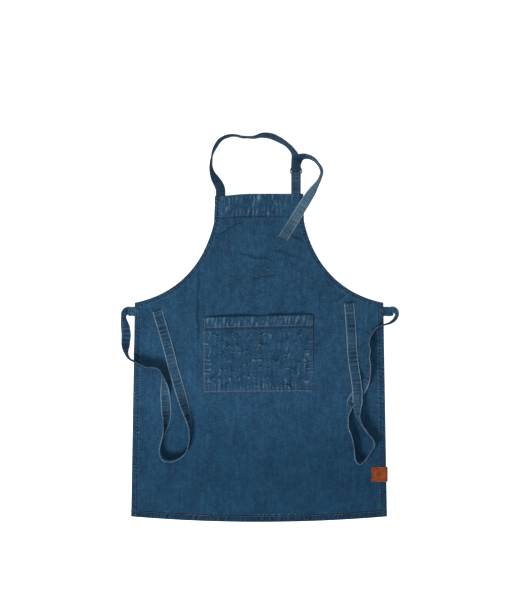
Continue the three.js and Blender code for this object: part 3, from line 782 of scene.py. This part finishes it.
# ---- pocket
def pocket_low(x, y):
    """Underside of the pocket's cloth, and its wear with painted light and shade: flat at its seams and
    lifted in each compartment.
    """
    from_side = POCKET_W / 2 - np.abs(x)
    from_middle = np.abs(x)
    from_seam = np.minimum(from_side, from_middle)
    from_bottom = y - (POCKET_TOP - POCKET_H)
    from_top = POCKET_TOP - y
    below_hem = smooth(POCKET_HEM, POCKET_HEM + 8, from_top)
    free = smooth(2, 16, from_side) * smooth(2, 18, from_bottom) * below_hem
    rise = smooth(0, 34, from_seam) * smooth(0, 42, from_bottom)
    mouth = smooth(POCKET_TOP - 120, POCKET_TOP, y)
    lift = (1.2 + 3.0 * mouth) * rise + 0.7 * fractal(x, y, 70, 41, stretch=(0.9, 1.8)) * free
    bend = 7.0 * fractal(x, y, 46, 45)
    wave = 0.5 * np.sin(2 * math.pi * (x + bend) / 13.5)
    ribs = (0.5 + wave) ** 2 * np.clip(0.6 + 0.9 * fractal(x, y, 34, 47, stretch=(1.0, 0.8)), 0.1, 1.2) * free
    rib_valley_shade = (0.5 - wave) ** 5 * np.clip(0.5 + 1.2 * fractal(x, y, 28, 48), 0.0, 1.0) * free
    sag = 9.0 * fractal(x, y, 30, 49)
    level = 0.5 + 0.5 * np.sin(2 * math.pi * (y + sag) / 31.0)
    level = level**5 * np.clip(0.5 + fractal(x, y, 42, 53), 0.0, 1.2) * free
    fold, dent = 0.0, 0.0
    families = ((y, 16.0, 23.0, 51, 1.0), (x, 12.0, 27.0, 67, 0.7), (y + 0.5 * x, 14, 41, 81, 0.8))
    for place, warp, pitch, seed, weight in families:
        crest, shade = wavy_folds(place, warp * fractal(x, y, 27, seed), pitch)
        broken = weight * free * smooth(-0.12, 0.18, fractal(x, y, 24, seed + 4))
        fold = fold + crest * broken
        dent = dent + shade * broken
    fold, dent = np.clip(fold, 0, 1.2), np.clip(dent, 0, 1.2) * smooth(8, 28, from_side)
    hem_room = smooth(POCKET_TOP - POCKET_HEM - 14, POCKET_TOP - POCKET_HEM - 2, y)
    crumple = fractal(x, y, 10, 73) * free
    z = 3.45 + np.clip(lift, 0, 5.0) + hem_room
    z += 0.6 * ribs + 0.8 * level + fold - 0.8 * dent + 0.35 * crumple
    side_rope = roping(y, from_side * 0.4, 11.0, 9.5) * (1 - smooth(4, 24, from_side)) * below_hem
    middle_rope = 0.5 * roping(y, from_middle * 0.4, 12.0, 10.0) * below_hem
    middle_rope *= 1 - smooth(4, 20, from_middle)
    reach = 30 + 22 * fractal(x, x * 0, 30, 61)
    bottom_rope = roping(x, from_bottom * 0.2, 13.0, 10.5) * (1 - smooth(0.4, 1.3, from_bottom / reach))
    top_rope = 0.7 * roping(x, from_top * 0.7, 14.0, 12.0) + 1.3 * fractal(x, y, 7.5, 77, stretch=(0.75, 2.2))
    top_rope *= 1 - smooth(POCKET_HEM - 4, POCKET_HEM + 2, from_top)
    z += 0.55 * (side_rope + middle_rope + bottom_rope) + 0.75 * top_rope * smooth(0, 4, from_top)
    lines = bump_at(from_side, POCKET_STITCH, 1.2) + bump_at(from_side, SECOND_STITCH, 1.2) * (x > 0)
    lines += 0.7 * bump_at(from_middle, 0, 1.2) + bump_at(from_bottom, POCKET_STITCH, 1.2)
    lines = np.clip(lines + bump_at(from_top, MOUTH_STITCH, 1.3), 0, 1)
    z -= 0.45 * lines
    rope = side_rope + 0.7 * middle_rope + bottom_rope + 1.1 * top_rope
    edge = np.minimum.reduce([from_side, from_bottom, from_top])
    z -= 0.5 * (1 - smooth(0, 1.8, edge))
    # Puckers at the seams worn paler on their crests and darkened with painted shade in their troughs;
    # painted highlights on the ribs, the level waves and the fold crests.
    wear_and_painted_light = 0.42 * np.clip(rope, -0.95, 1.0) + 0.13 * (ribs - 0.3 * free) + 0.10 * level + 0.58 * fold
    # Painted shade between the ribs and behind each fold, and a painted highlight on the crumples.
    wear_and_painted_light -= 0.26 * rib_valley_shade + 0.74 * dent - 0.2 * crumple
    # Painted shade in the stitch grooves and along the foot of the mouth hem.
    wear_and_painted_light -= 0.3 * lines + 0.7 * bump_at(from_top, POCKET_HEM + 2.0, 2.4)
    wear_and_painted_light += 0.35 * bump_at(edge, 0.5, 1.4) + 0.10 * bump_at(from_top, 14, 14) * smooth(0, 6, from_side)
    return np.clip(z, 3.3, 11.2), np.clip(wear_and_painted_light, -1, 1)


def pocket_tilt(x, y):
    """The pocket is sewn on a little askew, more at its mouth than along its bottom."""
    return x * (0.008 + 0.016 * smooth(POCKET_TOP - POCKET_H, POCKET_TOP, y))


def pocket_place(x, y):
    """The underside of the pocket's cloth at points of the pocket's own, and its wear with painted light and
    shade.
    """
    low, wear_and_painted_light = pocket_low(x, y)
    return np.stack([x + POCKET_X, y + pocket_tilt(x, y), low], axis=1), wear_and_painted_light


def pocket_sheet(name, node, y_low, y_high, fine, material, above, below):
    """A sheet of the pocket, reaching from above to below its cloth's underside."""
    cols, rows = 141, int((y_high - y_low) / fine) + 1
    x = np.tile(np.linspace(-POCKET_W / 2, POCKET_W / 2, cols), rows)
    place, wear_and_painted_light = pocket_place(x, np.repeat(np.linspace(y_low, y_high, rows), cols))
    obj = slab(name, place + [0, 0, above], place + [0, 0, below], rows, cols, material, place[:, :2], wear_and_painted_light)
    fix_to(obj, "apron", node)
    return obj


pocket = pocket_sheet(
    "pocket_cloth", "pocket_panel", POCKET_TOP - POCKET_H, POCKET_TOP, 2.1, DENIM_POCKET, CLOTH_T, 0)
pocket_sheet(
    "pocket_hem_turn", "pocket_top_hem", POCKET_TOP - POCKET_HEM, POCKET_TOP - 0.6, 3.0, DENIM_HEM,
    -0.12, -0.92)


# ---- stitching on the panel and pocket
def on_panel(points):
    x, y = points.T
    return np.column_stack([x, y - bib_drop(x, y), panel_height(x, y)[0] + CLOTH_T])


def on_pocket(points):
    return pocket_place(*points.T)[0] + [0, 0, CLOTH_T]


def run(points):
    return points, np.tile([0.0, 0.0, 1.0], (len(points), 1))


def box_line(x0, x1, y0, y1):
    """A sewn box with one diagonal."""
    return [(x0, y0), (x1, y0), (x1, y1), (x0, y1), (x0, y0), (x1, y1)]


def build_stitching():
    side = side_line(np.linspace(WAIST_Y - 14, BOTTOM_Y + 2, 60)) - [SIDE_HEM - STITCH_IN, 0]
    blue = []
    for turn in (-1, 1):
        flip, x = np.array([turn, 1]), turn * (BIB_HALF - 6)
        blue += [inward(ARM_RUN, ARM_HEM - STITCH_IN) * flip, side * flip]
        blue.append([(x, BIB_TOP - BAND), (x, BIB_STRAIGHT)])
        for x in np.linspace(WAIST_HALF - 11.5, WAIST_HALF - 2.5, 3):
            blue.append([(turn * x, TIE_Y - 12), (turn * x, TIE_Y + 12)])
    for gap in BAND_STITCH:
        blue.append([(-BIB_HALF + 3, BIB_TOP - gap), (BIB_HALF - 3, BIB_TOP - gap)])
    for x in (NECK_X, RING_X):
        blue.append(box_line(x - 11, x + 11, BIB_TOP - SEWN, BIB_TOP - 7))
    bottom = bottom_line(np.linspace(-HEM_HALF + 4, HEM_HALF - 4, 80)) + [0, BOTTOM_HEM - STITCH_IN]
    tan_from, tan_to, between = -210, -130, 2
    x = bottom[:, 0]
    blue += [bottom[x < tan_from - between], bottom[x > tan_to + between]]
    tan = [bottom[(x > tan_from) & (x < tan_to)]]
    half, second = POCKET_W / 2 - POCKET_STITCH, POCKET_W / 2 - SECOND_STITCH
    top, mouth, low = POCKET_TOP - 2, POCKET_TOP - MOUTH_STITCH, POCKET_TOP - POCKET_H + POCKET_STITCH
    pocket_tan = [[(-half, mouth), (half, mouth)], [(-half, top), (-half, low)], [(-half, low), (half, low)]]
    pocket_blue = [[(half, top), (half, low)], [(second, top), (second, low)]]
    divider = [[(0.0, POCKET_TOP - 3), (0.0, low)]]
    made = (
        ("stitching_hems", on_panel, blue, THREAD_BLUE, "bib_band_thread"),
        ("stitching_bottom", on_panel, tan, THREAD_TAN, "bottom_hem_thread"),
        ("stitching_mouth", on_pocket, pocket_tan, THREAD_TAN, "pocket_mouth_thread"),
        ("stitching_divider", on_pocket, divider, THREAD_DEEP, "pocket_divider_thread"),
        ("stitching_pocket", on_pocket, pocket_blue, THREAD_BLUE, None),
    )
    for name, place, lines, material, node in made:
        obj = stitch_mesh(name, [run(place(dense(line))) for line in lines], material)
        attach(obj, "apron")
        if node:
            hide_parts(node)


build_stitching()


# ---- straps
def route(points, step=2.2):
    """Even places along a strap's [x, y, low, roll] points, and its roll at each."""
    points = np.asarray(points, float)
    fine = curve_points(points, 24)
    plan = run_lengths(fine[:, :2])
    s = np.append(np.arange(0, plan[-1], step), plan[-1])
    roll = np.interp(s, plan[::24][: len(points)], points[:, 3])
    window = np.hanning(9)
    roll = np.convolve(np.pad(roll, 4, mode="edge"), window / window.sum(), "valid")
    return sampled(fine[:, :3], plan, s), roll


def flat_stations(points):
    """Stations (centre, side, normal) of a strap that lies or stands on something."""
    at, roll = route(points)
    d = directions(at[:, :2])
    flat, up = np.column_stack([-d[:, 1], d[:, 0], np.zeros(len(d))]), np.array([0.0, 0.0, 1.0])
    r = np.radians(roll)[:, None]
    rise = np.abs(np.sin(r)) * STRAP_W / 2 + np.abs(np.cos(r)) * STRAP_T / 2
    centre = np.column_stack([at[:, :2], np.clip(at[:, 2:], 0.05, None) + rise])
    return centre, flat * np.cos(r) + up * np.sin(r), up * np.cos(r) - flat * np.sin(r)


def upright_stations(path, x, side_x):
    """Stations of a strap bent in an upright plane: path of (y, z), side along +X or -X."""
    path = dense(path, 0.8)
    n = len(path)
    along = np.column_stack([np.zeros(n), directions(path)])
    side = np.tile([float(side_x), 0.0, 0.0], (n, 1))
    return np.column_stack([np.full(n, x), path]), side, np.cross(along, side)


def join(*parts):
    return tuple(np.vstack(same) for same in zip(*parts))


def cut(stations, at):
    """The stations up to and from one of them."""
    return tuple(part[: at + 1] for part in stations), tuple(part[at:] for part in stations)


ACROSS, PUCKER_PITCH, SEAM = 10, 9.5, 0.8


def strap_mesh(
    name, stations, material, seed, start=0.0, end_rows=(), rub=0.9, cup=3.4, runs_on=None, pleats=1.0
):
    """A folded, edge-stitched denim strap through the stations, puckered along both edges.
    end_rows are the stations, counted from the end, that carry a line of stitching across the strap.
    rub is how worn its edges are, and cup is how far it curls across its width where it stands on edge.
    runs_on is "end" or "start" where another strap takes up the curl at that end, and pleats is how deep the
    puckers across it are and how dark the painted shade in them is."""
    centre, side, normal = stations
    place = start + run_lengths(centre)
    rows, still = len(place), np.zeros(len(place))

    def along(row, size, step):
        return fractal(place, still + seed * row, size, seed + step)

    half, thick = STRAP_W / 2 - 0.2, STRAP_T / 2 - 0.1
    pucker = roping(place, still, seed, PUCKER_PITCH)
    other = 0.6 * pucker + 0.4 * roping(place, still, seed + 3, PUCKER_PITCH)
    soft, curl = along(3.0, 24.0, 0), along(7.0, 55.0, 4)
    upright = np.clip((np.abs(side[:, 2]) - 0.35) / 0.5, 0, 1) ** 2
    from_start, from_end = place - place[0], place[-1] - place
    ends = {"end": from_start, "start": from_end}.get(runs_on, np.minimum(from_start, from_end))
    bow = cup * upright * smooth(0, 20, ends) * np.clip(0.75 + 0.8 * curl, 0.2, 1.3)
    pulse = (0.5 + 0.5 * np.sin(2 * math.pi * (place + 8.0 * soft) / 10.5)) ** 2.1
    pulse = pleats * pulse * np.clip(0.85 + 1.6 * along(9.0, 34.0, 6), 0.1, 1.0)
    columns = np.linspace(-1, 1, ACROSS + 1)
    verts, uvs, wear_and_painted_light = [], [], []
    for i in range(rows):
        for face in (1, -1):
            for a in columns * face:
                inner = 1 - abs(a) ** 6
                rope = pucker[i] if a < 0 else other[i]
                edge = math.sqrt(max(1 - abs(a) ** 10, 0.0))
                seam = bump_at(abs(a), SEAM, 0.07)
                cross = rope * (0.6 + 0.4 * abs(a))
                pleat = pulse[i] * (1 - abs(a) ** 4) * (0.75 + 0.25 * a)
                rise = (thick + 0.20 * cross - 0.16 * seam - 0.24 * pleat) * edge + 0.10 * soft[i] * inner
                out = face * rise + bow[i] * (1 - a * a)
                verts.append(centre[i] + side[i] * half * a * (1 + 0.012 * rope) + normal[i] * out)
                uvs.append((half * a + (0 if face > 0 else 60), place[i]))
                # The edges rubbed paler, and a painted highlight on the crests of the puckers.
                edge_rub_and_highlight = rub * abs(a) ** 10 + (0.2 * max(cross, 0) + 0.13) * inner
                # Painted shade in the pleat dips and along the seams.
                wear_and_painted_light.append(edge_rub_and_highlight - 1.25 * pleat - 0.2 * seam)
    obj = make_object(name, verts, tube_faces(rows, 2 * (ACROSS + 1)), material, uvs, wear_and_painted_light)
    fix_outward(obj)
    runs = []
    for face in (1, -1):
        lift = normal * (thick - 0.2) * face
        for edge in (-SEAM, SEAM):
            bowed = normal * (bow * (1 - edge * edge))[:, None]
            runs.append((centre + side * half * edge + lift + bowed, normal * face))
        for i in end_rows:
            reach = np.linspace(-SEAM, SEAM, 14)[:, None] * half
            runs.append((centre[i] + side[i] * reach + lift[i], np.tile(normal[i] * face, (14, 1))))
    threads = stitch_mesh(name + "_thread", runs, THREAD_BLUE, width=0.55, height=0.34)
    return obj, threads, place[-1]


def settle(pieces, nodes, placed):
    """Fixes a strap and its threads to one body, or bakes their place into them when they lie across two, and
    gives its length.
    """
    obj, threads, length = pieces
    for piece in (obj, threads):
        if len(placed) == 1:
            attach(piece, placed[0])
        else:
            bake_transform(piece)
    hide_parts(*nodes)
    return length


def at_height(low, *points):
    """Points of a route that share the height of their lowest edge: [x, y, low, roll] from (x, y, roll)."""
    return [(x, y, low, roll) for x, y, roll in points]


STRAP_START = BIB_TOP + 0.6
CLEAR = 0.3
BAR_R = WIRE_R + CLEAR + STRAP_T / 2
PLY_LOW = STRAP_T / 2
PLY_HIGH = PLY_LOW + STRAP_T + CLEAR
TURN_HIGH = UPPER_RING_Z + WIRE_R + 0.6 + CLEAR + STRAP_T / 2
TURN_R = (TURN_HIGH - PLY_LOW) / 2
TURN = 8.3
ON_PANEL, ON_THREAD = 3.5, 4.4

ring_path = [(BIB_TOP - SEWN, PLY_LOW), (STRAP_START + 25, PLY_LOW)]
ring_path += arc(RING_Y, LOWER_RING_Z, BAR_R, -90, 0) + arc(RING_Y, UPPER_RING_Z, BAR_R, 0, 90)[:-1]
ring_path += curve_points([
    (RING_Y, UPPER_RING_Z + BAR_R), (RING_Y - 9, UPPER_RING_Z + BAR_R - 1), (RING_Y - 20, PLY_HIGH + 2.4),
    (RING_Y - 32, PLY_HIGH + 0.3), (RING_Y - 42, PLY_HIGH), (STRAP_START, PLY_HIGH),
], 10).tolist()
fold_line = ("apron", "neck_loop", (0, (BIB_TOP - 4) * MM, 0), (0, (BIB_TOP + 8) * MM, 0))
ring_stations = upright_stations(ring_path, RING_X, -1)
ring_strap = strap_mesh("ring_strap_cloth", ring_stations, DENIM_RING, 5.0, rub=0.5, cup=0, pleats=0.45)
ring_length = settle(ring_strap, ("ring_strap", "ring_strap_sewn_end"), fold_line)

NECK = at_height(
    0,
    (NECK_X, BIB_TOP - SEWN, 0), (NECK_X, STRAP_START, 0), (NECK_X, 376, 2), (-110, 390, 10),
    (-120, 407, 32), (-128, 424, 60), (-132, 445, 80), (-130, 470, 96), (-121, 492, 112), (-107, 511, 119),
    (-86, 522, 118), (-62, 526, 102), (-40, 522, 94), (-15, 521, 90), (10, 525, 68), (35, 521, 56),
    (60, 509, 60), (80, 496, 70), (93, 481, 64), (99, 466, 36), (RING_X, 453, 8), (RING_X, 446, 0),
)
turn_path = [(RING_Y + 22, PLY_LOW)] + arc(RING_Y + TURN, PLY_LOW + TURN_R, TURN_R, 270, 90, 24)
turn_path += [(RING_Y + 14, TURN_HIGH + 0.4), (RING_Y + 19, TURN_HIGH + 1)]
TAIL_ARC = [
    (RING_X, 446, TURN_HIGH + 0.4, 180), (104, 454, 9, 186), (111, 462, 4, 214), (122, 466, 1, 240),
    (137, 464, 0, 251), (151, 456, 0, 258), (162, 442, 0, 264), (167, 426, 0, 270), (165, 411, 0, 279),
]
TAIL = [
    (160, 397, 1, 290), (150, 379, 2.6, 318), (138, 361, ON_THREAD, 342),
    (122, 335, ON_THREAD, 357), (104, 306, ON_THREAD, 360), (85, 275, ON_PANEL, 360),
    (65, 243, ON_PANEL, 360),
]
loose_end = flat_stations(TAIL_ARC + TAIL)
joint = np.array(TAIL_ARC[-1][:2])
nearest = int(np.argmin(np.linalg.norm(loose_end[0][:, :2] - joint, axis=1)))
before_tail, tail_stations = cut(loose_end, nearest)
neck_stations = join(flat_stations(NECK), upright_stations(turn_path, RING_X, 1), before_tail)
neck_strap = strap_mesh(
    "neck_strap_cloth", neck_stations, DENIM_NECK, 8.0, rub=0.2, cup=6.0, runs_on="end", pleats=0.7)
neck_length = settle(neck_strap, ("neck_strap", "neck_strap_sewn_end"), fold_line)
tail_strap = strap_mesh(
    "neck_tail_cloth", tail_stations, DENIM_NECK, 8.0, neck_length, (-3, -9), cup=6.0, runs_on="start",
    pleats=0.6)
tail_line = ("neck_loop", "neck_tail", (0.166, 0.409, 0), (0.150, 0.382, 0))
tail_length = settle(tail_strap, ("neck_strap_tail",), tail_line) - neck_length

LEFT = at_height(
    0,
    (-366, 40, -46), (-369, 30, -66), (-368, 17, -50), (-365, 1, -22), (-363, -20, -12), (-364, -48, -32),
) + [
    (-362, -70, 0.5, -75), (-354, -86, 2, -88),
] + at_height(
    ON_PANEL,
    (-340, -94, -90), (-322, -101, -90), (-305, -109, -90), (-289, -109, -90), (-274, -114, -90),
    (-264, -131, -98), (-258, -160, -140), (-256, -190, -172), (-254, -222, -186), (-252, -254, -226),
    (-257, -286, -260), (-266, -315, -268), (-270, -340, -270), (-261, -359, -270), (-241, -364, -270),
    (-218, -356, -270), (-199, -338, -270), (-190, -308, -272), (-189, -275, -281), (-196, -240, -308),
    (-207, -203, -336), (-220, -160, -353), (-234, -112, -360), (-248, -56, -360), (-263, -4, -360),
    (-278, 46, -360),
)
RIGHT = at_height(
    0,
    (366, 47, 30), (373, 44, 60), (376, 35, 72), (372, 25, 72), (365, 17, 76),
) + [
    (354, 10, 1.5, 84),
] + at_height(
    ON_PANEL,
    (341, 6, 88), (326, 3, 90), (313, -9, 90), (303, -27, 90), (299, -45, 90), (303, -62, 90),
    (300, -81, 90), (303, -101, 90), (300, -128, 82), (291, -149, 50), (279, -168, 15), (266, -184, 8),
    (254, -200, 24), (246, -218, 62), (242, -242, 86), (243, -270, 90), (252, -296, 90), (257, -318, 90),
    (260, -342, 90), (263, -362, 90), (273, -371, 90), (287, -361, 90), (301, -342, 90), (313, -320, 90),
    (309, -306, 90), (296, -290, 90), (281, -268, 92),
) + [
    (270, -244, 5, 106), (267, -222, 9, 138), (268, -200, 14, 166), (268, -178, 16, 180),
    (265, -148, 13, 180), (260, -112, 6, 180),
] + at_height(
    ON_PANEL,
    (255, -70, 180), (252, -12, 180), (249, 28, 180), (246, 67, 180),
)


def build_tie(word, turn, points):
    """A waist tie's sewn end, with the crease at it, and the rest of the tie, each with its length."""
    name = word + "_tie"
    sewn = [(turn * x, TIE_Y, 0, 0) for x in (WAIST_HALF - 12, 345, 352)]
    stations = flat_stations(sewn + [(turn * 359, TIE_Y, 0, turn * 4)] + points)
    x, y = stations[0][:, 0], stations[0][:, 1]
    past_crease = x < -369 if turn < 0 else y < 36
    end, rest = cut(stations, max(int(np.argmax(past_crease)), 12))
    start = strap_mesh(name + "_start", end, DENIM_STRAP, 14.0 + turn)
    crease = ("apron", name, (turn * 341 * MM, TIE_Y * MM, 0), (turn * 364 * MM, TIE_Y * MM, 0))
    length = settle(start, (name + "_sewn_end",), crease)
    main = strap_mesh(name + "_cloth", rest, DENIM_STRAP, 14.0 + turn, length, (-3,))
    return (start, length), (main, settle(main, (name,), (name,)) - length)


ties = build_tie("left", -1, LEFT) + build_tie("right", 1, RIGHT)


# ---- D-rings
def build_ring(name, node, height):
    flat, rise = RING_HALF - RING_CORNER, RING_DEPTH - RING_CORNER
    path = [(x, 0.0) for x in np.linspace(-flat, flat, 14)[:-1]]
    path += arc(flat, RING_CORNER, RING_CORNER, -90, 0, 8)
    bow = np.linspace(0, math.pi, 50)[1:-1]
    path += [(RING_HALF * math.cos(t), RING_CORNER + rise * math.sin(t)) for t in bow]
    path += arc(-flat, RING_CORNER, RING_CORNER, 180, 270, 8)[:-1]
    path = np.array(path)
    d = np.roll(path, -1, axis=0) - np.roll(path, 1, axis=0)
    d /= np.linalg.norm(d, axis=1)[:, None]
    sides, weld = 20, 6
    verts = []
    for i, (p, t) in enumerate(zip(path, d)):
        r = WIRE_R - (0.08 if i == weld else 0.02)
        for angle in np.linspace(0, 2 * math.pi, sides, endpoint=False):
            out, up = r * math.cos(angle), -r * math.sin(angle)
            verts.append((RING_X + p[0] + t[1] * out, RING_Y + p[1] - t[0] * out, height + up))
    obj = make_object(name, verts, grid_faces(len(path), sides, True, True), METAL)
    fix_outward(obj)
    fix_to(obj, node, node)


build_ring("ring_wire_lower", "d_ring_lower", LOWER_RING_Z)
build_ring("ring_wire_upper", "d_ring_upper", UPPER_RING_Z)


# ---- leather tab
def build_tab():
    """Leather folded round the side hem, with a pressed border on its front."""
    (x0, y0, z0), (x1, y1, z1) = (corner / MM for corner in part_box("leather_tab"))
    thick, back_reach, border, far = 1.15, 15.5, 4.2, 99.0
    radius, middle = (z1 - z0 - thick) / 2, (z1 + z0) / 2
    fold_x = x1 - radius - thick / 2
    back, front = np.linspace(x1 - back_reach, fold_x, 5)[:-1], np.linspace(fold_x, x0, 40)[1:]
    profile = [(x, z0 + thick / 2) for x in back] + arc(fold_x, middle, radius, -90, 90)
    profile = np.array(profile + [(x, z1 - thick / 2) for x in front])
    d = directions(profile)
    rows, cols = 41, len(profile)
    top, bottom, wear_and_painted_light, uvs = [], [], [], []
    for y in np.linspace(y0 + 0.2, y1 - 0.2, rows):
        edge_y = min(y - y0, y1 - y)
        for i, (px, pz) in enumerate(profile):
            on_front = i >= cols - len(front)
            edge_x = px - x0 if on_front else far
            edge = min(edge_y, edge_x)
            line = bump_at(min(edge, fold_x - px + 3.0), border, 0.7) if on_front else 0.0
            curl = 0.25 * max(0.0, 1 - edge_x / 8) * (0.5 + 0.5 * math.sin(y * 0.21))
            out_x, out_z = d[i, 1], -d[i, 0]
            outer, inner = thick / 2 - 0.22 * line - 0.25 * max(0.0, 1 - edge / 0.9), thick / 2 - 0.05
            top.append((px + out_x * outer, y, min(pz + out_z * outer + curl, z1 + 0.2)))
            bottom.append((px - out_x * inner, y, pz - out_z * inner + curl))
            wear_and_painted_light.append(-0.9 * line - 0.25 * max(0.0, 1 - edge / 1.2))
            uvs.append((px, y))
    obj = slab("leather_tab_fold", top, bottom, rows, cols, LEATHER, uvs, wear_and_painted_light)
    fix_outward(obj)
    fix_to(obj, "apron", "leather_tab")
    high = z1 - 0.05
    rows_of_thread = [dense([(x1 - 18.0, y, high), (fold_x, y, high)]) for y in (y0 + 1.8, y1 - 1.8)]
    threads = stitch_mesh("leather_tab_thread", [run(points) for points in rows_of_thread], THREAD_TAN)
    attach(threads, "apron")


build_tab()


# ---- the straps, each with its length and the piece it lies on
straps = [(ring_strap, ring_length, "denim_panel"), (neck_strap, neck_length, "ring_wire_upper")]
straps += [(pieces, length, "denim_panel") for pieces, length in ((tail_strap, tail_length), *ties)]
